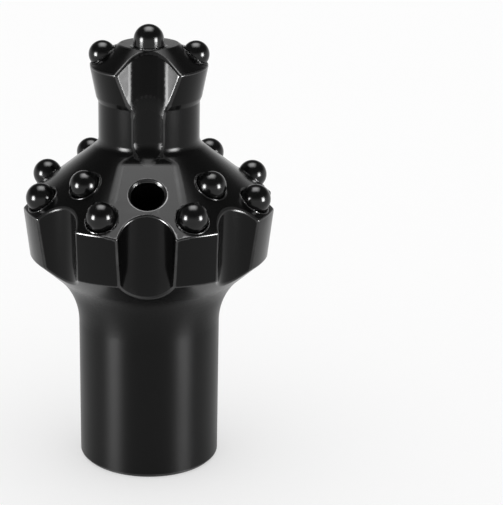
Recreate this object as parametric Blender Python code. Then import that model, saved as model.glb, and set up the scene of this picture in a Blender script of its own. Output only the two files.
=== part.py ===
"""Step reaming button bit: a one-piece steel body with a pilot, and pressed-in carbide buttons.

The body stands on the end of its skirt, with +Z towards the rock and the origin at the centre of that end.
The front of the bit looks along -Y, where one of the two face ports opens. Lengths are in metres.
"""

import math

import bmesh
import bpy
from mathutils import Matrix, Vector

MM = 0.001

# Skirt, with the socket for the drill rod
SKIRT_RADIUS = 28.1 * MM
SKIRT_HEIGHT = 70.2 * MM  # to the corner where the flare would start without its fillet
SKIRT_END_CHAMFER = 1.2 * MM
SOCKET_RADIUS = 17.9 * MM  # crest of the rod thread
SOCKET_DEPTH = 64.0 * MM
SOCKET_MOUTH_CHAMFER = 2.4 * MM
SOCKET_FLOOR_FILLET = 2.0 * MM

# Flare from the skirt out to the reamer
FLARE_ANGLE = math.radians(41.7)  # above level
FLARE_FILLET = 35.0 * MM

# Reamer
GAUGE_RADIUS = 49.8 * MM  # steel at the upper gauge edge
GAUGE_HEIGHT = 20.0 * MM
GAUGE_TAPER = math.radians(6.84)  # back taper of the gauge lands
FACE_ANGLE = math.radians(38.2)  # below level, outwards
EDGE_BREAK = 0.4 * MM
FLUTE_COUNT = 8
FLUTE_RADIUS = 12.8 * MM
FLUTE_DEPTH = 7.1 * MM
PORT_FLUTE_RADIUS = 11.0 * MM  # of the deeper flutes below the face ports
PORT_FLUTE_DEPTH = 10.0 * MM

# Neck
NECK_RADIUS = 19.65 * MM
NECK_HEIGHT = 16.5 * MM  # from the corner with the reamer's face to the pilot
NECK_FILLET = 4.5 * MM

# Pilot
PILOT_LIP = 0.85 * MM  # how far the lower lip stands out from the neck
PILOT_LIP_HEIGHT = 2.0 * MM
PILOT_OVERHANG = 3.15 * MM  # how far the widest edge stands out from the neck
PILOT_LAND_HEIGHT = 11.8 * MM
PILOT_BEVEL_ANGLE = math.radians(36.3)
PILOT_TOP_RADIUS = 11.5 * MM

# Pilot flutes, on the front and the back: a wide leaning cut with flared flanks
PILOT_FLUTE_COUNT = 2
PILOT_FLUTE_DEPTH = 8.4 * MM  # at the level of the widest edge
PILOT_FLUTE_LEAN = math.radians(13.6)
PILOT_FLUTE_HALF_WIDTH = 6.5 * MM  # of the hollow floor
PILOT_FLUTE_FLOOR_RADIUS = 22.0 * MM
PILOT_FLUTE_FLARE = math.radians(34.4)

# Neck grooves, which carry the pilot's flutes down to the reamer's face
GROOVE_HALF_WIDTH = 5.95 * MM
GROOVE_DEPTH = 2.6 * MM
GROOVE_FLOOR_RADIUS = 11.4 * MM
GROOVE_WALL_HEIGHT = 4.5 * MM  # of the cutter, above its floor
GROOVE_END_FILLET = 9.0 * MM

# Flats round the face ports
PORT_FLAT_DEPTH = 1.48 * MM  # below the middle of the conical face
PORT_FLAT_END_FILLET = 6.0 * MM

# Flushing passages
BORE_RADIUS = 6.0 * MM
BORE_COVER = 17.0 * MM  # solid steel between the bore's end and the pilot's top
BORE_POINT_HEIGHT = 3.0 * MM  # of the drilled point
PORT_COUNT = 2
PORT_RADIUS = 6.3 * MM
PORT_CHAMFER = 0.9 * MM
PORT_INSET = 20.9 * MM  # from the gauge edge, along the face
TOP_PORT_RADIUS = 3.5 * MM
TOP_PORT_CHAMFER = 0.9 * MM
TOP_PORT_OFFSET = 6.7 * MM
TOP_PORT_LEAN = math.radians(7.0)

# Buttons: a shank pressed into the body under a round dome
SHANK_CHAMFER = 0.8 * MM
SEAT_GAP = 0.3 * MM
SEAT_CHAMFER = 0.5 * MM
GAUGE_BUTTON_COUNT = 8
GAUGE_BUTTON_RADIUS = 5.75 * MM
GAUGE_BUTTON_SHANK = 11.0 * MM
GAUGE_BUTTON_INSET = 7.7 * MM  # from the gauge edge, along the face
GAUGE_BUTTON_STANDOUT = 1.2 * MM  # of the dome's centre above the steel
FRONT_BUTTON_COUNT = 4
FRONT_BUTTON_RADIUS = 5.7 * MM
FRONT_BUTTON_SHANK = 11.0 * MM
FRONT_BUTTON_INSET = 20.4 * MM
FRONT_BUTTON_STANDOUT = 0.3 * MM
PILOT_BUTTON_COUNT = 2
PILOT_BUTTON_RADIUS = 5.25 * MM
PILOT_BUTTON_SHANK = 10.0 * MM
PILOT_BUTTON_INSET = 6.4 * MM
PILOT_BUTTON_STANDOUT = 0.4 * MM
TOP_BUTTON_RADIUS = 5.8 * MM
TOP_BUTTON_SHANK = 10.0 * MM
TOP_BUTTON_OFFSET = 5.4 * MM
TOP_BUTTON_STANDOUT = 2.6 * MM

# How far a cutter runs past what it cuts
OVERRUN = 3.0 * MM

# Fineness of the round forms
BODY_SEGMENTS = 72
FLUTE_SEGMENTS = 40
HOLE_SEGMENTS = 24
BUTTON_SEGMENTS = 20
FILLET_STEPS = 6
DOME_STEPS = 5
SHARP_ANGLE = math.radians(26.0)

# Levels and radii that follow from the sizes above
GAUGE_FOOT_RADIUS = GAUGE_RADIUS - GAUGE_HEIGHT * math.tan(GAUGE_TAPER)
GAUGE_FOOT_LEVEL = SKIRT_HEIGHT + (GAUGE_FOOT_RADIUS - SKIRT_RADIUS) * math.tan(FLARE_ANGLE)
GAUGE_LEVEL = GAUGE_FOOT_LEVEL + GAUGE_HEIGHT
NECK_LEVEL = GAUGE_LEVEL + (GAUGE_RADIUS - NECK_RADIUS) * math.tan(FACE_ANGLE)
PILOT_LEVEL = NECK_LEVEL + NECK_HEIGHT
PILOT_RADIUS = NECK_RADIUS + PILOT_OVERHANG
PILOT_EDGE_LEVEL = PILOT_LEVEL + PILOT_LIP_HEIGHT + PILOT_LAND_HEIGHT
TOP_LEVEL = PILOT_EDGE_LEVEL + (PILOT_RADIUS - PILOT_TOP_RADIUS) * math.tan(PILOT_BEVEL_ANGLE)


def up_slope(radius, level, angle, inset):
    """The (radius, level) an inset further up a slope that rises inwards at an angle."""
    return radius - inset * math.cos(angle), level + inset * math.sin(angle)


def fillet(before, corner, after, radius, steps):
    """The points of an arc that rounds the corner of an outline, held within its two straight sides."""
    back = Vector(before) - Vector(corner)
    ahead = Vector(after) - Vector(corner)
    half_angle = back.angle(ahead) / 2
    reach = min(radius / math.tan(half_angle), back.length / 2, ahead.length / 2)
    arc_radius = reach * math.tan(half_angle)
    middle = (back.normalized() + ahead.normalized()).normalized()
    centre = Vector(corner) + middle * (arc_radius / math.sin(half_angle))
    first = Vector(corner) + back.normalized() * reach - centre
    last = Vector(corner) + ahead.normalized() * reach - centre
    turn = -first.angle_signed(last)
    points = []
    for step in range(steps + 1):
        angle = turn * step / steps
        x = first.x * math.cos(angle) - first.y * math.sin(angle)
        y = first.x * math.sin(angle) + first.y * math.cos(angle)
        points.append((centre.x + x, centre.y + y))
    return points


def body_profile():
    """The body's outline as (radius, level) points, from the skirt's end up to the pilot's top."""
    corners = [
        (SKIRT_RADIUS - SKIRT_END_CHAMFER, 0.0, None),
        (SKIRT_RADIUS, SKIRT_END_CHAMFER, None),
        (SKIRT_RADIUS, SKIRT_HEIGHT, FLARE_FILLET),
        (GAUGE_FOOT_RADIUS, GAUGE_FOOT_LEVEL, EDGE_BREAK),
        (GAUGE_RADIUS, GAUGE_LEVEL, EDGE_BREAK),
        (NECK_RADIUS, NECK_LEVEL, NECK_FILLET),
        (NECK_RADIUS, PILOT_LEVEL, None),
        (NECK_RADIUS + PILOT_LIP, PILOT_LEVEL + PILOT_LIP_HEIGHT, None),
        (PILOT_RADIUS, PILOT_EDGE_LEVEL, EDGE_BREAK),
        (PILOT_TOP_RADIUS, TOP_LEVEL, None),
    ]
    points = [(0.0, 0.0)]
    for index, (radius, level, rounding) in enumerate(corners):
        if rounding is None:
            points.append((radius, level))
            continue
        steps = 1 if rounding == EDGE_BREAK else FILLET_STEPS
        before, after = corners[index - 1][:2], corners[index + 1][:2]
        points += fillet(before, (radius, level), after, rounding, steps)
    points.append((0.0, TOP_LEVEL))
    return points


def solid(name, rings):
    """A closed solid skinned over rings of points, where a ring of one point is a tip."""
    shape = bmesh.new()
    loops = [[shape.verts.new(point) for point in ring] for ring in rings]
    for lower, upper in zip(loops, loops[1:]):
        count = max(len(lower), len(upper))
        for step in range(count):
            following = (step + 1) % count
            corners = [lower[step % len(lower)], lower[following % len(lower)]]
            corners += [upper[following % len(upper)], upper[step % len(upper)]]
            shape.faces.new(dict.fromkeys(corners))
    for loop in (loops[0], loops[-1]):
        if len(loop) > 1:
            shape.faces.new(loop)
    bmesh.ops.recalc_face_normals(shape, faces=shape.faces)
    mesh = bpy.data.meshes.new(name)
    shape.to_mesh(mesh)
    shape.free()
    obj = bpy.data.objects.new(name, mesh)
    bpy.context.scene.collection.objects.link(obj)
    return obj


def revolve(name, profile, segments):
    """A solid turned round +Z from (radius, level) points that start and end on the axis."""
    rings = []
    for radius, level in profile:
        if radius == 0:
            rings.append([(0.0, 0.0, level)])
            continue
        ring = []
        for step in range(segments):
            angle = 2 * math.pi * (step + 1 / 2) / segments
            ring.append((radius * math.cos(angle), radius * math.sin(angle), level))
        rings.append(ring)
    return solid(name, rings)


def around(index, count, start=0.0):
    """The turn about +Z that carries a thing at the front to its place among evenly spaced ones."""
    return Matrix.Rotation(start + 2 * math.pi * index / count, 4, "Z")


def seat(radius, level, tilt, turn):
    """A place at the front whose +Z leans outwards by a tilt, carried round by a turn."""
    return turn @ Matrix.Translation((0.0, -radius, level)) @ Matrix.Rotation(tilt, 4, "X")


def hole_cutter(name, radius, depth, chamfer, place):
    """The space of a round hole with a chamfered mouth, whose mouth lies at the origin of its place."""
    profile = [
        (0.0, -depth),
        (radius, -depth),
        (radius, -chamfer),
        (radius + chamfer + OVERRUN, OVERRUN),
        (0.0, OVERRUN),
    ]
    cutter = revolve(name, profile, HOLE_SEGMENTS)
    cutter.matrix_world = place
    return cutter


def socket_cutter():
    """The blind socket for the rod's thread, with a bevelled mouth and a rounded floor corner."""
    wall = (SOCKET_RADIUS, SOCKET_MOUTH_CHAMFER)
    corner = (SOCKET_RADIUS, SOCKET_DEPTH)
    middle = (0.0, SOCKET_DEPTH)
    profile = [
        (0.0, -OVERRUN),
        (SOCKET_RADIUS + SOCKET_MOUTH_CHAMFER + OVERRUN, -OVERRUN),
        wall,
        *fillet(wall, corner, middle, SOCKET_FLOOR_FILLET, FILLET_STEPS),
        middle,
    ]
    return revolve("socket_cutter", profile, FLUTE_SEGMENTS)


def bore_cutter():
    """The central flushing bore, from the socket's floor to a drilled point inside the pilot."""
    tip = TOP_LEVEL - BORE_COVER
    profile = [
        (0.0, SOCKET_DEPTH - OVERRUN),
        (BORE_RADIUS, SOCKET_DEPTH - OVERRUN),
        (BORE_RADIUS, tip - BORE_POINT_HEIGHT),
        (0.0, tip),
    ]
    return revolve("bore_cutter", profile, HOLE_SEGMENTS)


def port_mouth():
    """The (radius, level) of the middle of a face port's mouth, on its flat."""
    radius, level = up_slope(GAUGE_RADIUS, GAUGE_LEVEL, FACE_ANGLE, PORT_INSET)
    return radius - PORT_FLAT_DEPTH * math.sin(FACE_ANGLE), level - PORT_FLAT_DEPTH * math.cos(FACE_ANGLE)


def port_cutters():
    """The ports that leave the bore square to their flats."""
    radius, level = port_mouth()
    cutters = []
    for index in range(PORT_COUNT):
        place = seat(radius, level, FACE_ANGLE, around(index, PORT_COUNT))
        depth = radius / math.sin(FACE_ANGLE)
        cutters.append(hole_cutter(f"port_cutter_{index + 1}", PORT_RADIUS, depth, PORT_CHAMFER, place))
    return cutters


def top_port_cutter():
    """The small port in the pilot's top, behind the top button, that leans in to the bore."""
    place = seat(TOP_PORT_OFFSET, TOP_LEVEL, TOP_PORT_LEAN, around(1, 2))
    depth = BORE_COVER + BORE_RADIUS
    return hole_cutter("top_port_cutter", TOP_PORT_RADIUS, depth, TOP_PORT_CHAMFER, place)


def flute_cutters():
    """The upright flutes between the gauge lands, deeper where a face port opens above."""
    cutters = []
    for index in range(FLUTE_COUNT):
        under_port = index % (FLUTE_COUNT // PORT_COUNT) == 0
        radius = PORT_FLUTE_RADIUS if under_port else FLUTE_RADIUS
        depth = PORT_FLUTE_DEPTH if under_port else FLUTE_DEPTH
        profile = [
            (0.0, SKIRT_HEIGHT - OVERRUN),
            (radius, SKIRT_HEIGHT - OVERRUN),
            (radius, NECK_LEVEL),
            (0.0, NECK_LEVEL),
        ]
        cutter = revolve(f"flute_cutter_{index + 1}", profile, FLUTE_SEGMENTS)
        centre = GAUGE_RADIUS - depth + radius
        cutter.matrix_world = around(index, FLUTE_COUNT) @ Matrix.Translation((0.0, -centre, 0.0))
        cutters.append(cutter)
    return cutters


def port_flat_cutters():
    """The flats on the conical face round the ports, each with a round end against the neck."""
    foot_radius, foot_level = up_slope(GAUGE_RADIUS + OVERRUN, GAUGE_LEVEL, FACE_ANGLE, 0.0)
    foot_level -= OVERRUN * math.tan(FACE_ANGLE) + PORT_FLAT_DEPTH / math.cos(FACE_ANGLE)
    corner_level = foot_level + (foot_radius - NECK_RADIUS) * math.tan(FACE_ANGLE)
    foot = (foot_radius, foot_level)
    above = (NECK_RADIUS, NECK_LEVEL + NECK_FILLET)
    round_end = fillet(foot, (NECK_RADIUS, corner_level), above, PORT_FLAT_END_FILLET, FILLET_STEPS)
    outline = [foot, *round_end, above, (foot_radius, NECK_LEVEL + NECK_FILLET)]
    cutters = []
    for index in range(PORT_COUNT):
        rings = []
        for side in (-1, 1):
            rings.append([(side * NECK_RADIUS, -radius, level) for radius, level in outline])
        cutter = solid(f"port_flat_cutter_{index + 1}", rings)
        cutter.matrix_world = around(index, PORT_COUNT)
        cutters.append(cutter)
    return cutters


def arc_floor(half_width, radius, steps):
    """A hollow floor as (x, height) points from left to right, lowest in the middle at height zero."""
    spread = math.asin(half_width / radius)
    points = []
    for step in range(steps + 1):
        angle = spread * (2 * step / steps - 1)
        points.append((radius * math.sin(angle), radius * (1 - math.cos(angle))))
    return points


def pilot_flute_cutters():
    """The pilot's flutes, which run out towards the neck because they lean."""
    floor = arc_floor(PILOT_FLUTE_HALF_WIDTH, PILOT_FLUTE_FLOOR_RADIUS, FILLET_STEPS + 1)
    reach = PILOT_RADIUS
    spread = PILOT_FLUTE_HALF_WIDTH + reach / math.tan(PILOT_FLUTE_FLARE)
    outline = [(-spread, floor[0][1] + reach), *floor, (spread, floor[-1][1] + reach)]
    run_out = (PILOT_FLUTE_DEPTH - PILOT_OVERHANG) / math.sin(PILOT_FLUTE_LEAN) + OVERRUN
    floor_radius = PILOT_RADIUS - PILOT_FLUTE_DEPTH
    cutters = []
    for index in range(PILOT_FLUTE_COUNT):
        rings = [[(x, -height, level) for x, height in outline] for level in (-run_out, run_out)]
        cutter = solid(f"pilot_flute_cutter_{index + 1}", rings)
        turn = around(index, PILOT_FLUTE_COUNT)
        cutter.matrix_world = seat(floor_radius, PILOT_EDGE_LEVEL, -PILOT_FLUTE_LEAN, turn)
        cutters.append(cutter)
    return cutters


def groove_cutters():
    """The neck's grooves, which sweep out at their lower end to meet the port flats."""
    floor = arc_floor(GROOVE_HALF_WIDTH, GROOVE_FLOOR_RADIUS, FILLET_STEPS + 1)
    outline = [(-GROOVE_HALF_WIDTH, GROOVE_WALL_HEIGHT), *floor, (GROOVE_HALF_WIDTH, GROOVE_WALL_HEIGHT)]
    floor_radius = NECK_RADIUS - GROOVE_DEPTH
    flat_drop = PORT_FLAT_DEPTH / math.cos(FACE_ANGLE)
    corner_level = NECK_LEVEL + GROOVE_DEPTH * math.tan(FACE_ANGLE) - flat_drop
    turn = math.pi / 2 - FACE_ANGLE
    start_level = corner_level + GROOVE_END_FILLET * math.tan(turn / 2)
    path = [(floor_radius, PILOT_EDGE_LEVEL, 0.0)]
    for step in range(FILLET_STEPS + 1):
        angle = turn * step / FILLET_STEPS
        radius = floor_radius + GROOVE_END_FILLET * (1 - math.cos(angle))
        path.append((radius, start_level - GROOVE_END_FILLET * math.sin(angle), angle))
    cutters = []
    for index in range(PILOT_FLUTE_COUNT):
        rings = []
        for radius, level, angle in path:
            ring = []
            for x, height in outline:
                ring.append((x, -radius - height * math.cos(angle), level + height * math.sin(angle)))
            rings.append(ring)
        cutter = solid(f"groove_cutter_{index + 1}", rings)
        cutter.matrix_world = around(index, PILOT_FLUTE_COUNT)
        cutters.append(cutter)
    return cutters


def button_seats():
    """Every button as (name, place on the steel, radius, shank length, standout)."""
    on_face = (GAUGE_RADIUS, GAUGE_LEVEL, FACE_ANGLE)
    on_bevel = (PILOT_RADIUS, PILOT_EDGE_LEVEL, PILOT_BEVEL_ANGLE)
    rings = [
        ("reamer_gauge_button", GAUGE_BUTTON_COUNT, on_face, GAUGE_BUTTON_INSET,
         (GAUGE_BUTTON_RADIUS, GAUGE_BUTTON_SHANK, GAUGE_BUTTON_STANDOUT)),
        ("reamer_front_button", FRONT_BUTTON_COUNT, on_face, FRONT_BUTTON_INSET,
         (FRONT_BUTTON_RADIUS, FRONT_BUTTON_SHANK, FRONT_BUTTON_STANDOUT)),
        ("pilot_gauge_button", PILOT_BUTTON_COUNT, on_bevel, PILOT_BUTTON_INSET,
         (PILOT_BUTTON_RADIUS, PILOT_BUTTON_SHANK, PILOT_BUTTON_STANDOUT)),
    ]
    seats = []
    for prefix, count, slope, inset, sizes in rings:
        radius, level = up_slope(*slope, inset)
        for index in range(count):
            turn = around(index, count, math.pi / count)
            seats.append((f"{prefix}_{index + 1}", seat(radius, level, slope[2], turn), *sizes))
    place = seat(TOP_BUTTON_OFFSET, TOP_LEVEL, 0.0, around(0, 1))
    seats.append(("pilot_front_button", place, TOP_BUTTON_RADIUS, TOP_BUTTON_SHANK, TOP_BUTTON_STANDOUT))
    return seats


def seat_cutters():
    """The blind holes that the buttons are pressed into."""
    cutters = []
    for name, place, radius, shank, _ in button_seats():
        radius += SEAT_GAP
        depth = shank + SEAT_GAP
        cutters.append(hole_cutter(f"{name}_cutter", radius, depth, SEAT_CHAMFER, place))
    return cutters


def button(name, place, radius, shank, standout, material):
    """A carbide button: a chamfered shank, a plain band above the steel, and a round dome."""
    profile = [
        (0.0, -shank),
        (radius - SHANK_CHAMFER, -shank),
        (radius, SHANK_CHAMFER - shank),
    ]
    for step in range(DOME_STEPS):
        angle = math.pi / 2 * step / DOME_STEPS
        profile.append((radius * math.cos(angle), standout + radius * math.sin(angle)))
    profile.append((0.0, standout + radius))
    obj = revolve(name, profile, BUTTON_SEGMENTS)
    obj.matrix_world = place
    finish(obj, material)
    return obj


def cut(obj, cutters):
    """Takes the space of the cutters out of an object for good."""
    group = bpy.data.collections.new("cutters")
    bpy.context.scene.collection.children.link(group)
    for cutter in cutters:
        bpy.context.scene.collection.objects.unlink(cutter)
        group.objects.link(cutter)
    boolean = obj.modifiers.new("cut", "BOOLEAN")
    boolean.operation = "DIFFERENCE"
    boolean.solver = "EXACT"
    boolean.operand_type = "COLLECTION"
    boolean.collection = group
    bpy.context.view_layer.update()
    graph = bpy.context.evaluated_depsgraph_get()
    result = bpy.data.meshes.new_from_object(obj.evaluated_get(graph))
    obj.modifiers.clear()
    obj.data = result
    for cutter in cutters:
        bpy.data.objects.remove(cutter)
    bpy.data.collections.remove(group)


def finish(obj, material):
    """Gives an object its material, and smooth shading with crisp edges."""
    obj.data.materials.clear()
    obj.data.materials.append(material)
    obj.data.shade_smooth()
    obj.data.set_sharp_from_angle(angle=SHARP_ANGLE)


def paint(name, colour, roughness, metallic):
    """A plain Principled material."""
    material = bpy.data.materials.new(name)
    material.use_nodes = True
    shader = material.node_tree.nodes["Principled BSDF"]
    shader.inputs["Base Color"].default_value = (*colour, 1.0)
    shader.inputs["Roughness"].default_value = roughness
    shader.inputs["Metallic"].default_value = metallic
    return material


def bit_body(material):
    """The steel body: turned, fluted, and drilled for the rod, for flushing and for the buttons."""
    body = revolve("bit_body", body_profile(), BODY_SEGMENTS)
    cut(body, flute_cutters())
    cut(body, port_flat_cutters())
    cut(body, groove_cutters())
    cut(body, pilot_flute_cutters())
    cut(body, [socket_cutter()])
    cut(body, [bore_cutter()])
    cut(body, port_cutters())
    cut(body, [top_port_cutter()])
    cut(body, seat_cutters())
    finish(body, material)
    return body


def main():
    for obj in list(bpy.data.objects):
        bpy.data.objects.remove(obj)
    steel = paint("black_steel", (0.012, 0.012, 0.012), 0.3, 0.0)
    carbide = paint("black_carbide", (0.008, 0.008, 0.009), 0.12, 0.0)
    bit_body(steel)
    for name, place, radius, shank, standout in button_seats():
        button(name, place, radius, shank, standout, carbide)


main()
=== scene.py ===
"""Looks for a step reaming button bit: a fine body and fine carbide buttons that stand for the plain solids.

Lengths are in metres, with +Z towards the rock and the front face port towards -Y. The body is described as
a distance field, and it is meshed where the field is zero. The field has the same turned outline and cuts as
the solids, with rounded edges and the rod thread added.
"""

import math

import bmesh
import bpy
import numpy as np
from mathutils import Matrix, Vector

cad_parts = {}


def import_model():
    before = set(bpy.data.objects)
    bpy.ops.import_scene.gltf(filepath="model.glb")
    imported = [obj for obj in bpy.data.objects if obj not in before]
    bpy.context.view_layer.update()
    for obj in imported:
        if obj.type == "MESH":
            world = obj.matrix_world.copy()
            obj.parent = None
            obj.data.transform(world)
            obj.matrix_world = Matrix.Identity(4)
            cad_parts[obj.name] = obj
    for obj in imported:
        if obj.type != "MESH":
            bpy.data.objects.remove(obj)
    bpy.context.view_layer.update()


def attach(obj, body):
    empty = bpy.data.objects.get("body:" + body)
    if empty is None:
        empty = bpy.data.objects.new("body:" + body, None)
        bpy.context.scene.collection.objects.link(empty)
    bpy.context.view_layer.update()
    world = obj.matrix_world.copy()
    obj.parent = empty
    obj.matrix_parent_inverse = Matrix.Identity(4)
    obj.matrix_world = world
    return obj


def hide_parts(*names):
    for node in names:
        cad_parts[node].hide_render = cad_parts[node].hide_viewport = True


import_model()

MM = 0.001

# Body sizes, which are those of the solids
SKIRT_RADIUS = 28.1 * MM
SKIRT_HEIGHT = 70.2 * MM
SKIRT_END_CHAMFER = 1.2 * MM
SOCKET_RADIUS = 17.9 * MM
SOCKET_DEPTH = 64.0 * MM
SOCKET_MOUTH_CHAMFER = 2.4 * MM
SOCKET_FLOOR_FILLET = 2.0 * MM
FLARE_ANGLE = math.radians(41.7)
FLARE_FILLET = 35.0 * MM
GAUGE_RADIUS = 49.8 * MM
GAUGE_HEIGHT = 20.0 * MM
GAUGE_TAPER = math.radians(6.84)
FACE_ANGLE = math.radians(38.2)
FLUTE_COUNT = 8
FLUTE_RADIUS = 12.8 * MM
FLUTE_DEPTH = 7.1 * MM
PORT_FLUTE_RADIUS = 11.0 * MM
PORT_FLUTE_DEPTH = 10.0 * MM
NECK_RADIUS = 19.65 * MM
NECK_HEIGHT = 16.5 * MM
NECK_FILLET = 4.5 * MM
PILOT_LIP = 0.85 * MM
PILOT_LIP_HEIGHT = 2.0 * MM
PILOT_OVERHANG = 3.15 * MM
PILOT_LAND_HEIGHT = 11.8 * MM
PILOT_BEVEL_ANGLE = math.radians(36.3)
PILOT_TOP_RADIUS = 11.5 * MM
PILOT_FLUTE_COUNT = 2
PILOT_FLUTE_DEPTH = 8.4 * MM
PILOT_FLUTE_LEAN = math.radians(13.6)
PILOT_FLUTE_HALF_WIDTH = 6.5 * MM
PILOT_FLUTE_FLOOR_RADIUS = 22.0 * MM
PILOT_FLUTE_FLARE = math.radians(34.4)
GROOVE_HALF_WIDTH = 5.95 * MM
GROOVE_DEPTH = 2.6 * MM
GROOVE_FLOOR_RADIUS = 11.4 * MM
GROOVE_END_FILLET = 9.0 * MM
PORT_FLAT_DEPTH = 1.48 * MM
PORT_FLAT_END_FILLET = 6.0 * MM
BORE_RADIUS = 6.0 * MM
BORE_COVER = 17.0 * MM
PORT_COUNT = 2
PORT_RADIUS = 6.3 * MM
PORT_CHAMFER = 0.9 * MM
PORT_INSET = 20.9 * MM
TOP_PORT_RADIUS = 3.5 * MM
TOP_PORT_CHAMFER = 0.9 * MM
TOP_PORT_OFFSET = 6.7 * MM
TOP_PORT_LEAN = math.radians(7.0)

# Button sizes: count, radius, shank, inset along the slope, standout of the dome's centre
SHANK_CHAMFER = 0.8 * MM
SEAT_GAP = 0.1 * MM
SEAT_CHAMFER = 0.35 * MM
GAUGE_BUTTONS = (8, 5.75 * MM, 11.0 * MM, 7.7 * MM, 1.2 * MM)
FRONT_BUTTONS = (4, 5.7 * MM, 11.0 * MM, 20.4 * MM, 0.3 * MM)
PILOT_BUTTONS = (2, 5.25 * MM, 10.0 * MM, 6.4 * MM, 0.4 * MM)
TOP_BUTTON = (5.8 * MM, 10.0 * MM, 2.6 * MM)  # radius, shank, standout
TOP_BUTTON_OFFSET = 5.4 * MM

# Fine forms that only this model has
EDGE_ROUNDING = 0.8 * MM
FINE_ROUNDING = 0.4 * MM
COLLAR_RADIUS = 0.4 * MM  # of the round bead about each button's hole
COLLAR_OFFSET = 0.55 * MM
MOUTH_ROUNDING = 0.2 * MM
THREAD_DEPTH = 1.7 * MM
THREAD_PITCH = 15.875 * MM
THREAD_RUN_OUT = 9.0 * MM  # from the thread's end to the socket's floor
PILOT_FLANK_FILLET = 7.0 * MM  # between the pilot flute's floor and its flanks
WEAR_REACH = 0.5 * MM  # how far from an edge its wear can reach

# How far cuts run past what they cut, and outlines past the axis, and how finely arcs are stepped
OVERRUN = 3.0 * MM
PAST_AXIS = 30.0 * MM
FILLET_STEPS = 8
EDGE_STEPS = 4
FLARE_STEPS = 16

# Finishes: colours, the range of each roughness, noises as (scale, detail), and patches as the two noise
# levels between which they form and their values there
STEEL_COLOUR = (0.003, 0.003, 0.003)
STEEL_ROUGHNESS = (0.155, 0.195)
STEEL_SPECULAR = 0.14
STEEL_BUMPS = 0.1
SATIN_LEVELS = (70.0 * MM, 86.0 * MM)  # between which the skirt's satin gives way to gloss
SATIN_ROUGHNESS = 0.19  # added to the steel's own
TURNED_SHEEN = 0.8  # how much the sheen stretches along the axis, as it does on a turned surface
QUARTER_TURN = 0.25  # sets the stretched sheen square to the tangent
WORN_COLOUR = (0.07, 0.07, 0.07)
WORN_SHARES = (0.1, 0.24)  # the edge shares at which wear starts and is full
WORN_PATCHES = (0.3, 0.6, 0.6, 1.0)
CARBIDE_COLOUR = (0.003, 0.003, 0.003)
CARBIDE_PATCH_COLOUR = (0.006, 0.006, 0.006)
CARBIDE_PATCHES = (0.45, 0.75, 0.0, 1.0)
CARBIDE_ROUGHNESS = (0.14, 0.17)
CARBIDE_SPECULAR = 0.3
CARBIDE_BUMPS = 0.04
BUMP_HEIGHT = 0.05 * MM
SHEEN_NOISE = (55.0, 4.0)
SHEEN_RANGE = (0.3, 0.7)
BUMP_NOISE = (420.0, 3.0)
WEAR_NOISE = (160.0, 3.0)
CARBIDE_NOISE = (240.0, 4.0)

# Meshing
CELL = 0.5 * MM
COARSEST = 4.0 * MM
NET_MARGIN = 2.0 * MM
LATTICE_OFFSET = 0.213 * MM  # keeps the lattice off the body's flat ends and planes
LATTICE_BITS = 11
CULL_MARGIN = 0.35 * MM  # for the field's error away from the surface
CHUNK = 60000  # points worked on at a time
GRADIENT_STEP = 0.02 * MM
TINY = 1e-12  # keeps a zero gradient from dividing by zero
BODY_TRIANGLES = 190000
SHARP_LIMIT = math.cos(math.radians(9.0))  # between a face and the field, past which an edge is near
SMOOTH_LIMIT = math.cos(math.radians(5.0))  # within which the field is smooth over a face
ACROSS_LIMIT = math.cos(math.radians(12.0))  # past which a face stands across the surface
INWARD = 0.3  # how far a corner's normal is taken towards the face's middle at an edge
LONG_FACE = 5.0 * MM
BUTTON_SEGMENTS = 64
DOME_STEPS = 18
BUTTON_SHARP_ANGLE = math.radians(30)
CUBE_CORNERS = np.array([(i, j, k) for i in (0, 1) for j in (0, 1) for k in (0, 1)])
TETRAHEDRON = np.array([(1, 1, 1), (1, -1, -1), (-1, 1, -1), (-1, -1, 1)], float)

# Studio boxes: name, azimuth and elevation in degrees, distance, width, height, brightness as seen
BOXES = [
    ("left_box", -56, 4, 1.0, 0.5, 0.7, 44.0),
    ("right_box", 57, 4, 1.0, 0.5, 0.7, 38.0),
    ("top_box", 180, 84, 0.9, 0.9, 0.9, 7.0),
]
TARGET_LEVEL = 85.0 * MM  # what the boxes aim at, on the axis
AREA_LIGHT_FACTOR = 4.0  # power of an area light for each unit of brightness and area
BOX_FALLOFF = (0.15, 0.5)  # shares of a box's width over which it dims to nothing
SKY_DIM = 0.12
HORIZON_HEIGHTS = (0.0, 0.4)  # over which the sky dims from white
FLOOR_REACH = 12.0
FLOOR_COLOUR = (0.97, 0.97, 0.97)
FLOOR_ROUGHNESS = 0.9
FLOOR_WHITE_SHARE = 0.45  # how far the floor is plain white to the camera and to mirrors
WHITE = (1.0, 1.0, 1.0, 1.0)

# Camera
CAMERA_DISTANCE = 627.77 * MM
CAMERA_HEIGHT = 300.18 * MM
CAMERA_AZIMUTH = math.radians(1.1)
CAMERA_PITCH = math.radians(18.89)
CAMERA_LENS = 118.99
CAMERA_SENSOR = 36.0
CAMERA_SHIFT = 0.2028

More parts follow.
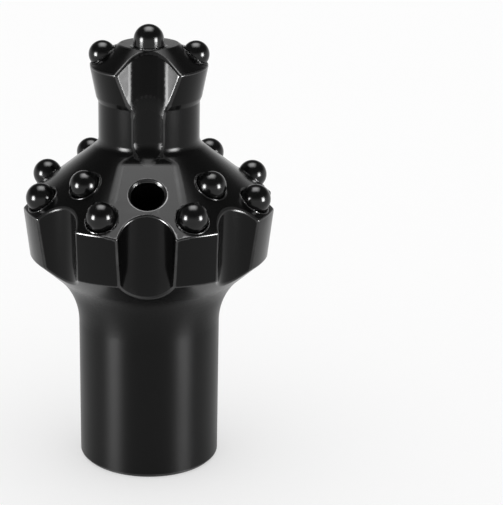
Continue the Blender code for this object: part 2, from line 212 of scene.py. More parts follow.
# Levels and radii that follow from the sizes above
GAUGE_FOOT_RADIUS = GAUGE_RADIUS - GAUGE_HEIGHT * math.tan(GAUGE_TAPER)
GAUGE_FOOT_LEVEL = SKIRT_HEIGHT + (GAUGE_FOOT_RADIUS - SKIRT_RADIUS) * math.tan(FLARE_ANGLE)
GAUGE_LEVEL = GAUGE_FOOT_LEVEL + GAUGE_HEIGHT
NECK_LEVEL = GAUGE_LEVEL + (GAUGE_RADIUS - NECK_RADIUS) * math.tan(FACE_ANGLE)
PILOT_LEVEL = NECK_LEVEL + NECK_HEIGHT
PILOT_RADIUS = NECK_RADIUS + PILOT_OVERHANG
PILOT_EDGE_LEVEL = PILOT_LEVEL + PILOT_LIP_HEIGHT + PILOT_LAND_HEIGHT
TOP_LEVEL = PILOT_EDGE_LEVEL + (PILOT_RADIUS - PILOT_TOP_RADIUS) * math.tan(PILOT_BEVEL_ANGLE)


# Outlines

def up_slope(radius, level, angle, inset):
    """The (radius, level) an inset further up a slope that rises inwards at an angle."""
    return radius - inset * math.cos(angle), level + inset * math.sin(angle)


def fillet(before, corner, after, radius, steps=FILLET_STEPS):
    """The points of an arc that rounds the corner of an outline."""
    back = Vector(before) - Vector(corner)
    ahead = Vector(after) - Vector(corner)
    half_angle = back.angle(ahead) / 2
    reach = min(radius / math.tan(half_angle), back.length / 2, ahead.length / 2)
    arc_radius = reach * math.tan(half_angle)
    middle = (back.normalized() + ahead.normalized()).normalized()
    centre = Vector(corner) + middle * (arc_radius / math.sin(half_angle))
    first = Vector(corner) + back.normalized() * reach - centre
    last = Vector(corner) + ahead.normalized() * reach - centre
    turn = -first.angle_signed(last)
    points = []
    for step in range(steps + 1):
        angle = turn * step / steps
        x = first.x * math.cos(angle) - first.y * math.sin(angle)
        y = first.x * math.sin(angle) + first.y * math.cos(angle)
        points.append((centre.x + x, centre.y + y))
    return points


def body_outline():
    """The body's turned outline as (radius, level) points that run past the axis at both ends."""
    corners = [
        (-PAST_AXIS, 0.0, None),
        (SKIRT_RADIUS - SKIRT_END_CHAMFER, 0.0, FINE_ROUNDING),
        (SKIRT_RADIUS, SKIRT_END_CHAMFER, EDGE_ROUNDING),
        (SKIRT_RADIUS, SKIRT_HEIGHT, FLARE_FILLET),
        (GAUGE_FOOT_RADIUS, GAUGE_FOOT_LEVEL, EDGE_ROUNDING),
        (GAUGE_RADIUS, GAUGE_LEVEL, EDGE_ROUNDING),
        (NECK_RADIUS, NECK_LEVEL, NECK_FILLET),
        (NECK_RADIUS, PILOT_LEVEL, None),
        (NECK_RADIUS + PILOT_LIP, PILOT_LEVEL + PILOT_LIP_HEIGHT, EDGE_ROUNDING),
        (PILOT_RADIUS, PILOT_EDGE_LEVEL, EDGE_ROUNDING),
        (PILOT_TOP_RADIUS, TOP_LEVEL, EDGE_ROUNDING),
        (-PAST_AXIS, TOP_LEVEL, None),
    ]
    points = []
    for index, (radius, level, rounding) in enumerate(corners):
        if rounding is None:
            points.append((radius, level))
            continue
        steps = EDGE_STEPS if rounding <= EDGE_ROUNDING else FILLET_STEPS
        if rounding == FLARE_FILLET:
            steps = FLARE_STEPS
        points += fillet(corners[index - 1][:2], (radius, level), corners[index + 1][:2], rounding, steps)
    return points


def hole_outline(radius, depth, chamfer):
    """A round hole's outline as (radius, height) points, with its mouth at height zero."""
    return [
        (-PAST_AXIS, -depth),
        (radius, -depth),
        (radius, -chamfer),
        (radius + chamfer + OVERRUN, OVERRUN),
        (-PAST_AXIS, OVERRUN),
    ]


def socket_outline():
    """The rod socket's outline, without its thread."""
    wall = (SOCKET_RADIUS, SOCKET_MOUTH_CHAMFER)
    corner = (SOCKET_RADIUS, SOCKET_DEPTH)
    return [
        (-PAST_AXIS, -OVERRUN),
        (SOCKET_RADIUS + SOCKET_MOUTH_CHAMFER + OVERRUN, -OVERRUN),
        wall,
        *fillet(wall, corner, (0.0, SOCKET_DEPTH), SOCKET_FLOOR_FILLET),
        (-PAST_AXIS, SOCKET_DEPTH),
    ]


def bore_outline():
    """The flushing bore's outline, up to its drilled point."""
    tip = TOP_LEVEL - BORE_COVER
    return [
        (-PAST_AXIS, SOCKET_DEPTH - OVERRUN),
        (BORE_RADIUS, SOCKET_DEPTH - OVERRUN),
        (BORE_RADIUS, tip - BORE_RADIUS / 2),
        (0.0, tip),
        (-PAST_AXIS, tip + PAST_AXIS / 2),
    ]


def port_flat_outline():
    """The flat round a face port as (distance to the front, level) points, with a round end at the neck."""
    foot_radius = GAUGE_RADIUS + OVERRUN
    foot_level = GAUGE_LEVEL - OVERRUN * math.tan(FACE_ANGLE) - PORT_FLAT_DEPTH / math.cos(FACE_ANGLE)
    corner_level = foot_level + (foot_radius - NECK_RADIUS) * math.tan(FACE_ANGLE)
    top = NECK_LEVEL + NECK_FILLET
    foot, corner, above = (foot_radius, foot_level), (NECK_RADIUS, corner_level), (NECK_RADIUS, top)
    return [foot, *fillet(foot, corner, above, PORT_FLAT_END_FILLET), above, (foot_radius, top)]


def pilot_flute_outline():
    """The pilot flute's section as (x, height above its floor's middle) points."""
    spread = math.asin(PILOT_FLUTE_HALF_WIDTH / PILOT_FLUTE_FLOOR_RADIUS)
    floor = []
    for step in range(FILLET_STEPS + 1):
        angle = spread * (2 * step / FILLET_STEPS - 1)
        rise = PILOT_FLUTE_FLOOR_RADIUS * (1 - math.cos(angle))
        floor.append((PILOT_FLUTE_FLOOR_RADIUS * math.sin(angle), rise))
    outer = PILOT_FLUTE_HALF_WIDTH + PILOT_RADIUS / math.tan(PILOT_FLUTE_FLARE)
    left, right = (-outer, floor[0][1] + PILOT_RADIUS), (outer, floor[-1][1] + PILOT_RADIUS)
    left_round = fillet(left, floor[0], floor[2], PILOT_FLANK_FILLET)
    right_round = fillet(floor[-3], floor[-1], right, PILOT_FLANK_FILLET)
    return [left, *left_round, *floor[2:-2], *right_round, right]


# Distance field

def outline_distance(outline, across, up):
    """Signed distance to a closed outline, negative inside."""
    nearest = np.full(across.shape, np.inf)
    inside = np.zeros(across.shape, bool)
    for (u0, v0), (u1, v1) in zip(outline, outline[1:] + outline[:1]):
        du, dv = u1 - u0, v1 - v0
        length = du * du + dv * dv
        if length == 0:
            continue
        pu, pv = across - u0, up - v0
        along = np.clip((pu * du + pv * dv) / length, 0, 1)
        nearest = np.minimum(nearest, (pu - du * along) ** 2 + (pv - dv * along) ** 2)
        if dv != 0:
            inside ^= ((v0 <= up) != (v1 <= up)) & (pu < pv * du / dv)
    return np.where(inside, -1.0, 1.0) * np.sqrt(nearest)


def carve(solid, cutter, rounding):
    """The field of a solid without a cutter, with the edge between them rounded."""
    corner = np.hypot(np.maximum(solid + rounding, 0), np.maximum(rounding - cutter, 0))
    return np.minimum(np.maximum(solid, -cutter), -rounding) + corner


def fold(x, y, count, start=0.0):
    """Turns points about the axis into the sector round the front, and gives each one's sector."""
    pitch = 2 * math.pi / count
    sector = np.round((np.arctan2(x, -y) - start) / pitch)
    angle = start + sector * pitch
    cosine, sine = np.cos(angle), np.sin(angle)
    return x * cosine + y * sine, y * cosine - x * sine, sector.astype(int) % count


def seated(x, y, z, radius, level, tilt):
    """Points as seen from a seat at the front whose +Z leans outwards by a tilt."""
    back, above = y + radius, z - level
    return x, back * math.cos(tilt) + above * math.sin(tilt), above * math.cos(tilt) - back * math.sin(tilt)


def hole_distance(points, outline):
    """Signed distance to a round hole from points seen from its seat."""
    x, y, z = points
    return outline_distance(outline, np.hypot(x, y), z)


def button_hole(field, place, radius, depth):
    """The field with a button's hole, and the low round bead that stands about its mouth."""
    across = np.hypot(place[0], place[1])
    bead = np.hypot(across - radius - COLLAR_OFFSET, place[2]) - COLLAR_RADIUS
    blend = np.clip(0.5 + 0.5 * (bead - field) / COLLAR_RADIUS, 0, 1)
    field = bead * (1 - blend) + field * blend - COLLAR_RADIUS * blend * (1 - blend)
    hole = hole_outline(radius + SEAT_GAP, depth + SEAT_GAP, SEAT_CHAMFER)
    return carve(field, outline_distance(hole, across, place[2]), MOUTH_ROUNDING)


def eased(share):
    """A share from 0 to 1 that starts and ends gently."""
    return share * share * (3 - 2 * share)


def socket_distance(x, y, z, radius):
    """Signed distance to the rod socket, with its left-handed rope thread."""
    turns = z / THREAD_PITCH + np.arctan2(y, x) / (2 * math.pi)
    wave = eased(0.5 - 0.5 * np.cos(2 * math.pi * turns))
    fade = eased(np.clip((SOCKET_DEPTH - THREAD_RUN_OUT - z) / THREAD_RUN_OUT, 0, 1))
    plain = outline_distance(SOCKET_OUTLINE, radius, z)
    threaded = np.maximum(radius - SOCKET_RADIUS - THREAD_DEPTH * wave * fade, z - SOCKET_DEPTH)
    return np.minimum(plain, threaded)


def port_seat():
    """The (radius, level) of the middle of a face port's mouth."""
    radius, level = up_slope(GAUGE_RADIUS, GAUGE_LEVEL, FACE_ANGLE, PORT_INSET)
    return radius - PORT_FLAT_DEPTH * math.sin(FACE_ANGLE), level - PORT_FLAT_DEPTH * math.cos(FACE_ANGLE)


def slope_seats():
    """Each ring of buttons as (name, count, radius, level, tilt, button radius, shank, standout)."""
    rings = [
        ("reamer_gauge_button", GAUGE_BUTTONS, (GAUGE_RADIUS, GAUGE_LEVEL, FACE_ANGLE)),
        ("reamer_front_button", FRONT_BUTTONS, (GAUGE_RADIUS, GAUGE_LEVEL, FACE_ANGLE)),
        ("pilot_gauge_button", PILOT_BUTTONS, (PILOT_RADIUS, PILOT_EDGE_LEVEL, PILOT_BEVEL_ANGLE)),
    ]
    seats = []
    for name, (count, button_radius, shank, inset, standout), slope in rings:
        radius, level = up_slope(*slope, inset)
        seats.append((name, count, radius, level, slope[2], button_radius, shank, standout))
    return seats


BODY_OUTLINE = body_outline()
SOCKET_OUTLINE = socket_outline()
BORE_OUTLINE = bore_outline()
PORT_FLAT_OUTLINE = port_flat_outline()
PILOT_FLUTE_OUTLINE = pilot_flute_outline()


def reamer_flute(x, y):
    """Distance to the nearest flute down the reamer's side; those under a face port have their own size."""
    fx, fy, sector = fold(x, y, FLUTE_COUNT)
    under_port = sector % (FLUTE_COUNT // PORT_COUNT) == 0
    radius = np.where(under_port, PORT_FLUTE_RADIUS, FLUTE_RADIUS)
    depth = np.where(under_port, PORT_FLUTE_DEPTH, FLUTE_DEPTH)
    return np.hypot(fx, fy + GAUGE_RADIUS - depth + radius) - radius


def neck_groove(x, y, z):
    """Distance to the groove down the neck at the front, whose floor sweeps out over the port's flat."""
    corner_level = NECK_LEVEL + GROOVE_DEPTH * math.tan(FACE_ANGLE) - PORT_FLAT_DEPTH / math.cos(FACE_ANGLE)
    start = corner_level + GROOVE_END_FILLET * math.tan((math.pi / 2 - FACE_ANGLE) / 2)
    upright = -y - (NECK_RADIUS - GROOVE_DEPTH)
    swept = GROOVE_END_FILLET - np.hypot(upright - GROOVE_END_FILLET, z - start)
    height = np.where(z > start, upright, swept)
    groove = np.hypot(x, height - GROOVE_FLOOR_RADIUS) - GROOVE_FLOOR_RADIUS
    return np.maximum(groove, np.abs(x) - GROOVE_HALF_WIDTH)


def pilot_flute(x, y, z):
    """Distance to the leaning flute in the pilot's side at the front."""
    across, out, up = seated(x, y, z, PILOT_RADIUS - PILOT_FLUTE_DEPTH, PILOT_EDGE_LEVEL, -PILOT_FLUTE_LEAN)
    run_out = (PILOT_FLUTE_DEPTH - PILOT_OVERHANG) / math.sin(PILOT_FLUTE_LEAN) + OVERRUN
    return np.maximum(outline_distance(PILOT_FLUTE_OUTLINE, across, -out), np.abs(up) - run_out)


def body_field(points):
    """The body's signed distance at an array of points, nearly exact close to its surface."""
    x, y, z = points.T
    radius = np.hypot(x, y)
    field = outline_distance(BODY_OUTLINE, radius, z)

    field = carve(field, reamer_flute(x, y), EDGE_ROUNDING)

    fx, fy, _ = fold(x, y, PORT_COUNT)
    flat = np.maximum(outline_distance(PORT_FLAT_OUTLINE, -fy, z), np.abs(fx) - NECK_RADIUS)
    field = carve(field, flat, FINE_ROUNDING)

    px, py, _ = fold(x, y, PILOT_FLUTE_COUNT)
    field = carve(field, neck_groove(px, py, z), FINE_ROUNDING)
    field = carve(field, pilot_flute(px, py, z), EDGE_ROUNDING)

    field = carve(field, socket_distance(x, y, z, radius), FINE_ROUNDING)
    field = carve(field, outline_distance(BORE_OUTLINE, radius, z), FINE_ROUNDING)

    port_radius, port_level = port_seat()
    port = hole_outline(PORT_RADIUS, port_radius / math.sin(FACE_ANGLE), PORT_CHAMFER)
    place = seated(fx, fy, z, port_radius, port_level, FACE_ANGLE)
    field = carve(field, hole_distance(place, port), MOUTH_ROUNDING)

    port = hole_outline(TOP_PORT_RADIUS, BORE_COVER + BORE_RADIUS, TOP_PORT_CHAMFER)
    place = seated(-x, -y, z, TOP_PORT_OFFSET, TOP_LEVEL, TOP_PORT_LEAN)
    field = carve(field, hole_distance(place, port), MOUTH_ROUNDING)

    for _, count, seat_radius, seat_level, tilt, button_radius, shank, _ in slope_seats():
        bx, by, _ = fold(x, y, count, math.pi / count)
        place = seated(bx, by, z, seat_radius, seat_level, tilt)
        field = button_hole(field, place, button_radius, shank)
    place = seated(x, y, z, TOP_BUTTON_OFFSET, TOP_LEVEL, 0.0)
    return button_hole(field, place, TOP_BUTTON[0], TOP_BUTTON[1])


def in_chunks(work, points):
    """Runs a function over an array of points in pieces that stay in the processor's cache."""
    parts = [work(points[first:first + CHUNK]) for first in range(0, len(points), CHUNK)]
    return np.concatenate(parts)


def gradient(points):
    """The unit gradient of the field."""
    total = np.zeros_like(points)
    for corner in TETRAHEDRON:
        total += corner * body_field(points + corner * GRADIENT_STEP)[:, None]
    return total / (np.linalg.norm(total, axis=1, keepdims=True) + TINY)


def edge_share(points):
    """How far each point lies on an outer edge: zero on flat and hollow stretches."""
    total = -len(TETRAHEDRON) * body_field(points)
    for corner in TETRAHEDRON:
        total += body_field(points + corner * WEAR_REACH)
    return total / (len(TETRAHEDRON) * WEAR_REACH)


def settle(points, rounds):
    """Moves points onto the surface."""
    for _ in range(rounds):
        points = points - gradient(points) * body_field(points)[:, None]
    return points


# Meshing

def lattice_key(cells):
    """One number for each whole-number cell."""
    return (cells[:, 0] << 2 * LATTICE_BITS) | (cells[:, 1] << LATTICE_BITS) | cells[:, 2]


def surface_cells(low, size):
    """The finest cells that may hold the surface, found by halving the cells near it."""
    spans = np.ceil(size / COARSEST).astype(int)
    cells = np.stack(np.meshgrid(*[np.arange(n) for n in spans], indexing="ij"), axis=-1).reshape(-1, 3)
    edge = COARSEST
    while True:
        centres = low + (cells + 0.5) * edge
        reach = edge * math.sqrt(3) / 2 + CULL_MARGIN
        cells = cells[np.abs(in_chunks(body_field, centres)) < reach]
        if math.isclose(edge, CELL):
            return cells
        cells = (cells[:, None, :] * 2 + CUBE_CORNERS).reshape(-1, 3)
        edge /= 2


def net(low, size):
    """A net of quads over the field's zero: one point in each cell that the surface crosses.

    A corner of a cell is numbered so that bit 4 >> axis is set where it lies ahead along that axis.
    """
    cells = surface_cells(low, size)
    corners = (cells[:, None, :] + CUBE_CORNERS).reshape(-1, 3)
    keys, first, where = np.unique(lattice_key(corners), return_index=True, return_inverse=True)
    values = in_chunks(body_field, low + corners[first] * CELL)
    cell_values = values[where.reshape(-1)].reshape(-1, 8)
    inside = cell_values < 0
    mixed = inside.any(1) & ~inside.all(1)
    cells, cell_values, inside = cells[mixed], cell_values[mixed], inside[mixed]

    total = np.zeros((len(cells), 3))
    count = np.zeros(len(cells))
    for a in range(8):
        for axis in range(3):
            b = a | (4 >> axis)
            if b == a:
                continue
            crossed = inside[:, a] != inside[:, b]
            va, vb = cell_values[crossed, a], cell_values[crossed, b]
            share = (va / (va - vb))[:, None]
            total[crossed] += CUBE_CORNERS[a] + share * (CUBE_CORNERS[b] - CUBE_CORNERS[a])
            count[crossed] += 1
    points = low + (cells + total / count[:, None]) * CELL

    cell_keys = lattice_key(cells)
    order = np.argsort(cell_keys)
    sorted_keys = cell_keys[order]
    quads = []
    for axis in range(3):
        b = 4 >> axis
        crossed = inside[:, 0] != inside[:, b]
        base = cells[crossed]
        u, v = np.zeros(3, int), np.zeros(3, int)
        u[(axis + 1) % 3], v[(axis + 2) % 3] = 1, 1
        ring = []
        for shift in (0 * u, -u, -u - v, -v):
            keys = lattice_key(base + shift)
            ring.append(order[np.searchsorted(sorted_keys, keys)])
        ring = np.stack(ring, axis=1)
        flip = ~inside[crossed, 0]
        ring[flip] = ring[flip][:, ::-1]
        quads.append(ring)
    return points, np.concatenate(quads)


def linked(name, data):
    """A new object in the scene."""
    obj = bpy.data.objects.new(name, data)
    bpy.context.scene.collection.objects.link(obj)
    return obj


def mesh_from(name, points, faces):
    """A mesh object from arrays of points and equal-sided faces."""
    mesh = bpy.data.meshes.new(name)
    sides = faces.shape[1]
    mesh.vertices.add(len(points))
    mesh.vertices.foreach_set("co", points.astype(np.float32).ravel())
    mesh.loops.add(faces.size)
    mesh.loops.foreach_set("vertex_index", faces.astype(np.int32).ravel())
    mesh.polygons.add(len(faces))
    mesh.polygons.foreach_set("loop_start", np.arange(0, faces.size, sides, dtype=np.int32))
    mesh.update(calc_edges=True)
    mesh.validate()
    return linked(name, mesh)


def thin_out(obj, triangles):
    """Collapses an object's mesh to about a number of triangles."""
    obj.data.calc_loop_triangles()
    count = len(obj.data.loop_triangles)
    decimate = obj.modifiers.new("thin_out", "DECIMATE")
    decimate.ratio = min(triangles / count, 1.0)
    decimate.use_collapse_triangulate = True
    obj.modifiers.new("triangles", "TRIANGULATE")
    graph = bpy.context.evaluated_depsgraph_get()
    result = bpy.data.meshes.new_from_object(obj.evaluated_get(graph))
    obj.modifiers.clear()
    obj.data = result


def points_of(mesh):
    """A mesh's points as an array."""
    points = np.zeros(len(mesh.vertices) * 3)
    mesh.vertices.foreach_get("co", points)
    return points.reshape(-1, 3)


def face_normals_of(mesh):
    """The normal of each of a mesh's faces as an array."""
    normals = np.zeros(len(mesh.polygons) * 3)
    mesh.polygons.foreach_get("normal", normals)
    return normals.reshape(-1, 3)


def corners_of(mesh):
    """A triangle mesh's points, the point at each corner, and that corner taken a little into its face."""
    points = points_of(mesh)
    corners = np.zeros(len(mesh.loops), np.int32)
    mesh.loops.foreach_get("vertex_index", corners)
    centres = np.repeat(points[corners].reshape(-1, 3, 3).mean(1), 3, axis=0)
    return points, corners, points[corners] * (1 - INWARD) + centres * INWARD


def turn_slivers(obj):
    """Turns the longest edge of each thin face that stands across a smooth stretch of the surface."""
    mesh = obj.data
    points, corners, _ = corners_of(mesh)
    normals = in_chunks(gradient, points)[corners].reshape(-1, 3, 3)
    mean = normals.mean(1)
    smooth = np.linalg.norm(mean, axis=1) > SMOOTH_LIMIT
    across = (mean * face_normals_of(mesh)).sum(1) < ACROSS_LIMIT
    shape = bmesh.new()
    shape.from_mesh(mesh)
    shape.faces.ensure_lookup_table()
    edges = {}
    for index in np.flatnonzero(smooth & across):
        longest = max(shape.faces[int(index)].edges, key=lambda edge: edge.calc_length())
        edges[longest.index] = longest
    bmesh.ops.rotate_edges(shape, edges=list(edges.values()), use_ccw=False)
    bmesh.ops.triangulate(shape, faces=[face for face in shape.faces if len(face.verts) > 3])
    shape.to_mesh(mesh)
    shape.free()


def set_wear(obj):
    """Stores how far each face corner lies on an outer edge, for the finish to wear it there."""
    points, corners, inner = corners_of(obj.data)
    shares = in_chunks(edge_share, points)[corners]
    near = shares > WORN_SHARES[0] / 2
    shares[near] = in_chunks(edge_share, inner[near])
    wear = obj.data.attributes.new("edge_share", "FLOAT", "CORNER")
    wear.data.foreach_set("value", shares.astype(np.float32))


def square_to_long_edges(triangles, normals):
    """Turns the normals of long faces, which lie along straight stretches, square to their longest edge."""
    sides = np.roll(triangles, -1, axis=1) - triangles
    lengths = np.linalg.norm(sides, axis=2)
    rows = np.flatnonzero(lengths.max(1) > LONG_FACE)
    longest = lengths[rows].argmax(1)
    along = sides[rows, longest] / lengths[rows, longest][:, None]
    turned = normals[rows]
    turned -= (turned * along[:, None]).sum(2, keepdims=True) * along[:, None]
    normals[rows] = turned / np.linalg.norm(turned, axis=2, keepdims=True)
    return normals


def set_normals(obj):
    """Gives each face corner the normal of the field, taken a little inside the face along edges."""
    mesh = obj.data
    points, corners, inner = corners_of(mesh)
    normals = in_chunks(gradient, points)[corners]
    off = (normals * np.repeat(face_normals_of(mesh), 3, axis=0)).sum(1) < SHARP_LIMIT
    normals[off] = in_chunks(gradient, inner[off])
    normals = square_to_long_edges(points[corners].reshape(-1, 3, 3), normals.reshape(-1, 3, 3))
    mesh.shade_smooth()
    mesh.normals_split_custom_set(normals.reshape(-1, 3))


def body_piece():
    """The fine body: the field's surface, thinned where it is flat and settled back onto the field."""
    side = GAUGE_RADIUS + NET_MARGIN
    low = np.array([-side, -side, -NET_MARGIN]) + LATTICE_OFFSET
    high = np.array([side, side, TOP_LEVEL + NET_MARGIN])
    points, quads = net(low, high - low)
    points = in_chunks(lambda part: settle(part, 1), points)
    obj = mesh_from("fine_body", points, quads)
    thin_out(obj, BODY_TRIANGLES)
    mesh = obj.data
    points = in_chunks(lambda part: settle(part, 2), points_of(mesh))
    mesh.vertices.foreach_set("co", points.astype(np.float32).ravel())
    mesh.update()
    turn_slivers(obj)
    set_wear(obj)
    set_normals(obj)
    return obj


def revolve(name, profile, segments):
    """A turned mesh from (radius, height) points that start and end on the axis."""
    shape = bmesh.new()
    rings = []
    for radius, height in profile:
        if radius == 0:
            rings.append([shape.verts.new((0.0, 0.0, height))])
            continue
        ring = []
        for step in range(segments):
            angle = 2 * math.pi * step / segments
            ring.append(shape.verts.new((radius * math.cos(angle), radius * math.sin(angle), height)))
        rings.append(ring)
    for lower, upper in zip(rings, rings[1:]):
        for step in range(segments):
            following = (step + 1) % segments
            loop = [lower[step % len(lower)], lower[following % len(lower)]]
            loop += [upper[following % len(upper)], upper[step % len(upper)]]
            shape.faces.new(dict.fromkeys(loop))
    bmesh.ops.recalc_face_normals(shape, faces=shape.faces)
    mesh = bpy.data.meshes.new(name)
    shape.to_mesh(mesh)
    shape.free()
    return linked(name, mesh)


def button_piece(name, place, radius, shank, standout, material):
    """A fine carbide button in its seat, which stands for its plain solid."""
    profile = [(0.0, -shank), (radius - SHANK_CHAMFER, -shank)]
    profile += [(radius, SHANK_CHAMFER - shank), (radius, 0.0)]
    for step in range(DOME_STEPS):
        angle = math.pi / 2 * step / DOME_STEPS
        profile.append((radius * math.cos(angle), standout + radius * math.sin(angle)))
    profile.append((0.0, standout + radius))
    obj = revolve("fine_" + name, profile, BUTTON_SEGMENTS)
    obj.data.transform(place)
    obj.data.shade_smooth()
    obj.data.set_sharp_from_angle(angle=BUTTON_SHARP_ANGLE)
    obj.data.materials.append(material)
    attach(obj, "root")
    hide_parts(name)


# Materials

def node(tree, kind, **values):
    """A shader node with its inputs and settings filled in."""
    made = tree.nodes.new(kind)
    for key, value in values.items():
        if key in made.inputs.keys():
            made.inputs[key].default_value = value
        else:
            setattr(made, key, value)
    return made


def noise(tree, scale, detail):
    """Noise over the object's own coordinates, as a factor socket."""
    place = node(tree, "ShaderNodeTexCoord")
    made = node(tree, "ShaderNodeTexNoise", Scale=scale, Detail=detail)
    tree.links.new(place.outputs["Object"], made.inputs["Vector"])
    return made.outputs["Fac"]


def ramp(tree, source, low, high, low_value, high_value):
    """A value that runs from one number to another as its source does."""
    made = node(tree, "ShaderNodeMapRange")
    made.inputs["From Min"].default_value = low
    made.inputs["From Max"].default_value = high
    made.inputs["To Min"].default_value = low_value
    made.inputs["To Max"].default_value = high_value
    tree.links.new(source, made.inputs["Value"])
    return made.outputs["Result"]


def product(tree, *factors):
    """The product of several values."""
    total = factors[0]
    for factor in factors[1:]:
        made = node(tree, "ShaderNodeMath", operation="MULTIPLY")
        tree.links.new(total, made.inputs[0])
        tree.links.new(factor, made.inputs[1])
        total = made.outputs[0]
    return total


def colour_between(tree, factor, low, high):
    """A colour that runs from one to another as its factor does."""
    mix = node(tree, "ShaderNodeMix", data_type="RGBA")
    mix.inputs["A"].default_value = (*low, 1.0)
    mix.inputs["B"].default_value = (*high, 1.0)
    tree.links.new(factor, mix.inputs["Factor"])
    return mix.outputs["Result"]


def black_gloss(name, colour, roughness, bumps, specular):
    """Gloss black with slight patches in its sheen and fine bumps, as a material, its tree and its shader."""
    material = bpy.data.materials.new(name)
    material.use_nodes = True
    tree = material.node_tree
    shader = tree.nodes["Principled BSDF"]
    shader.inputs["Base Color"].default_value = (*colour, 1.0)
    shader.inputs["Specular IOR Level"].default_value = specular
    sheen = ramp(tree, noise(tree, *SHEEN_NOISE), *SHEEN_RANGE, *roughness)
    tree.links.new(sheen, shader.inputs["Roughness"])
    bump = node(tree, "ShaderNodeBump", Strength=bumps, Distance=BUMP_HEIGHT)
    tree.links.new(noise(tree, *BUMP_NOISE), bump.inputs["Height"])
    tree.links.new(bump.outputs["Normal"], shader.inputs["Normal"])
    return material, tree, shader


def steel_finish():
    """Black enamel on steel: satin on the skirt, and rubbed down to dark bright metal along outer edges."""
    finish = black_gloss("black_steel", STEEL_COLOUR, STEEL_ROUGHNESS, STEEL_BUMPS, STEEL_SPECULAR)
    material, tree, shader = finish
    shader.inputs["Anisotropic Rotation"].default_value = QUARTER_TURN
    around = node(tree, "ShaderNodeTangent", direction_type="RADIAL", axis="Z")
    tree.links.new(around.outputs[0], shader.inputs["Tangent"])
    sheen = shader.inputs["Roughness"].links[0].from_socket
    place = node(tree, "ShaderNodeTexCoord")
    split = node(tree, "ShaderNodeSeparateXYZ")
    tree.links.new(place.outputs["Object"], split.inputs[0])
    height = split.outputs["Z"]
    add = node(tree, "ShaderNodeMath", operation="ADD")
    tree.links.new(sheen, add.inputs[0])
    tree.links.new(ramp(tree, height, *SATIN_LEVELS, SATIN_ROUGHNESS, 0.0), add.inputs[1])
    tree.links.new(add.outputs[0], shader.inputs["Roughness"])
    tree.links.new(ramp(tree, height, *SATIN_LEVELS, TURNED_SHEEN, 0.0), shader.inputs["Anisotropic"])

    share = node(tree, "ShaderNodeAttribute", attribute_name="edge_share").outputs["Fac"]
    patches = ramp(tree, noise(tree, *WEAR_NOISE), *WORN_PATCHES)
    worn = product(tree, ramp(tree, share, *WORN_SHARES, 0.0, 1.0), patches)
    tree.links.new(colour_between(tree, worn, STEEL_COLOUR, WORN_COLOUR), shader.inputs["Base Color"])
    tree.links.new(worn, shader.inputs["Metallic"])
    return material


def carbide_finish():
    """Polished black carbide, with faint patches."""
    finish = black_gloss("black_carbide", CARBIDE_COLOUR, CARBIDE_ROUGHNESS, CARBIDE_BUMPS, CARBIDE_SPECULAR)
    material, tree, shader = finish
    patches = ramp(tree, noise(tree, *CARBIDE_NOISE), *CARBIDE_PATCHES)
    colour = colour_between(tree, patches, CARBIDE_COLOUR, CARBIDE_PATCH_COLOUR)
    tree.links.new(colour, shader.inputs["Base Color"])
    return material


# Studio

def softbox(name, azimuth, elevation, distance, width, height, radiance):
    """A rectangular area light that is aimed at the bit and dims towards its edges."""
    light = bpy.data.lights.new(name, "AREA")
    light.shape = "RECTANGLE"
    light.size = width
    light.size_y = height
    light.energy = radiance * width * height * AREA_LIGHT_FACTOR
    light.use_nodes = True
    tree = light.node_tree
    place = node(tree, "ShaderNodeNewGeometry")
    split = node(tree, "ShaderNodeSeparateXYZ")
    tree.links.new(place.outputs["Parametric"], split.inputs[0])
    falls = []
    for side in ("X", "Y"):
        offset = node(tree, "ShaderNodeMath", operation="SUBTRACT")
        offset.inputs[1].default_value = 0.5
        size = node(tree, "ShaderNodeMath", operation="ABSOLUTE")
        tree.links.new(split.outputs[side], offset.inputs[0])
        tree.links.new(offset.outputs[0], size.inputs[0])
        falls.append(ramp(tree, size.outputs[0], *BOX_FALLOFF, 1.0, 0.0))
    tree.links.new(product(tree, *falls), tree.nodes["Emission"].inputs["Strength"])
    obj = linked(name, light)
    obj.visible_diffuse = False
    a, e = math.radians(azimuth), math.radians(elevation)
    obj.location = (
        distance * math.sin(a) * math.cos(e),
        -distance * math.cos(a) * math.cos(e),
        TARGET_LEVEL + distance * math.sin(e),
    )
    towards = Vector((0, 0, TARGET_LEVEL)) - obj.location
    obj.rotation_euler = towards.to_track_quat("-Z", "Y").to_euler()


def camera():
    """The camera at the photo's viewing angle."""
    data = bpy.data.cameras.new("camera")
    data.lens = CAMERA_LENS
    data.sensor_width = CAMERA_SENSOR
    data.shift_x = CAMERA_SHIFT
    obj = linked("camera", data)
    obj.location = (
        CAMERA_DISTANCE * math.sin(CAMERA_AZIMUTH),
        -CAMERA_DISTANCE * math.cos(CAMERA_AZIMUTH),
        CAMERA_HEIGHT,
    )
    obj.rotation_euler = (math.pi / 2 - CAMERA_PITCH, 0.0, CAMERA_AZIMUTH)
    bpy.context.scene.camera = obj


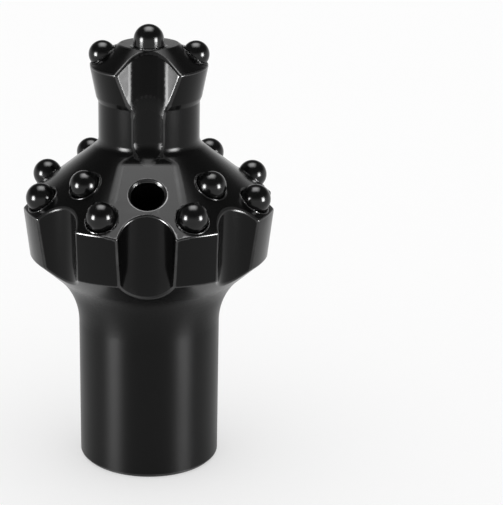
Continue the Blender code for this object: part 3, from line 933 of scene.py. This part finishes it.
def world():
    """Even white light on plain surfaces, and for camera and mirrors a sky that dims above the horizon."""
    made = bpy.data.worlds.new("studio")
    bpy.context.scene.world = made
    made.use_nodes = True
    tree = made.node_tree
    tree.nodes.clear()
    out = node(tree, "ShaderNodeOutputWorld")
    even = node(tree, "ShaderNodeBackground", Color=WHITE, Strength=1.0)
    sky = node(tree, "ShaderNodeBackground", Color=WHITE)
    place = node(tree, "ShaderNodeTexCoord")
    split = node(tree, "ShaderNodeSeparateXYZ")
    tree.links.new(place.outputs["Generated"], split.inputs[0])
    tree.links.new(ramp(tree, split.outputs["Z"], *HORIZON_HEIGHTS, 1.0, SKY_DIM), sky.inputs["Strength"])
    path = node(tree, "ShaderNodeLightPath")
    mix = node(tree, "ShaderNodeMixShader")
    tree.links.new(path.outputs["Is Diffuse Ray"], mix.inputs[0])
    tree.links.new(sky.outputs[0], mix.inputs[1])
    tree.links.new(even.outputs[0], mix.inputs[2])
    tree.links.new(mix.outputs[0], out.inputs[0])


def floor():
    """A plain pale floor, near white to the camera but for the bit's shadow."""
    corners = np.array([(-1, -1, 0), (1, -1, 0), (1, 1, 0), (-1, 1, 0)])
    obj = mesh_from("floor", corners * FLOOR_REACH, np.array([[0, 1, 2, 3]]))
    material = bpy.data.materials.new("floor")
    material.use_nodes = True
    tree = material.node_tree
    shader = tree.nodes["Principled BSDF"]
    shader.inputs["Base Color"].default_value = (*FLOOR_COLOUR, 1.0)
    shader.inputs["Roughness"].default_value = FLOOR_ROUGHNESS
    shader.inputs["Specular IOR Level"].default_value = 0.0
    white = node(tree, "ShaderNodeEmission", Color=WHITE, Strength=1.0)
    path = node(tree, "ShaderNodeLightPath")
    seen = path.outputs["Is Camera Ray"]
    for kind in ("Is Glossy Ray", "Is Transmission Ray"):
        either = node(tree, "ShaderNodeMath", operation="MAXIMUM")
        tree.links.new(seen, either.inputs[0])
        tree.links.new(path.outputs[kind], either.inputs[1])
        seen = either.outputs[0]
    share = ramp(tree, seen, 0.0, 1.0, 0.0, FLOOR_WHITE_SHARE)
    mix = node(tree, "ShaderNodeMixShader")
    tree.links.new(share, mix.inputs[0])
    tree.links.new(shader.outputs[0], mix.inputs[1])
    tree.links.new(white.outputs[0], mix.inputs[2])
    tree.links.new(mix.outputs[0], tree.nodes["Material Output"].inputs["Surface"])
    obj.data.materials.append(material)


def main():
    """The bit's pieces on their plain solids, and the studio round them."""
    for obj in [o for o in bpy.data.objects if o.type in ("LIGHT", "CAMERA")]:
        bpy.data.objects.remove(obj)
    bpy.context.scene.view_settings.view_transform = "Standard"
    steel = steel_finish()
    carbide = carbide_finish()

    body = body_piece()
    body.data.materials.append(steel)
    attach(body, "root")
    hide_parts("bit_body")

    for name, count, radius, level, tilt, button_radius, shank, standout in slope_seats():
        for index in range(count):
            turn = Matrix.Rotation(math.pi / count + 2 * math.pi * index / count, 4, "Z")
            place = turn @ Matrix.Translation((0.0, -radius, level)) @ Matrix.Rotation(tilt, 4, "X")
            button_piece(f"{name}_{index + 1}", place, button_radius, shank, standout, carbide)
    place = Matrix.Translation((0.0, -TOP_BUTTON_OFFSET, TOP_LEVEL))
    button_piece("pilot_front_button", place, *TOP_BUTTON, carbide)

    floor()
    world()
    camera()
    for box in BOXES:
        softbox(*box)


main()
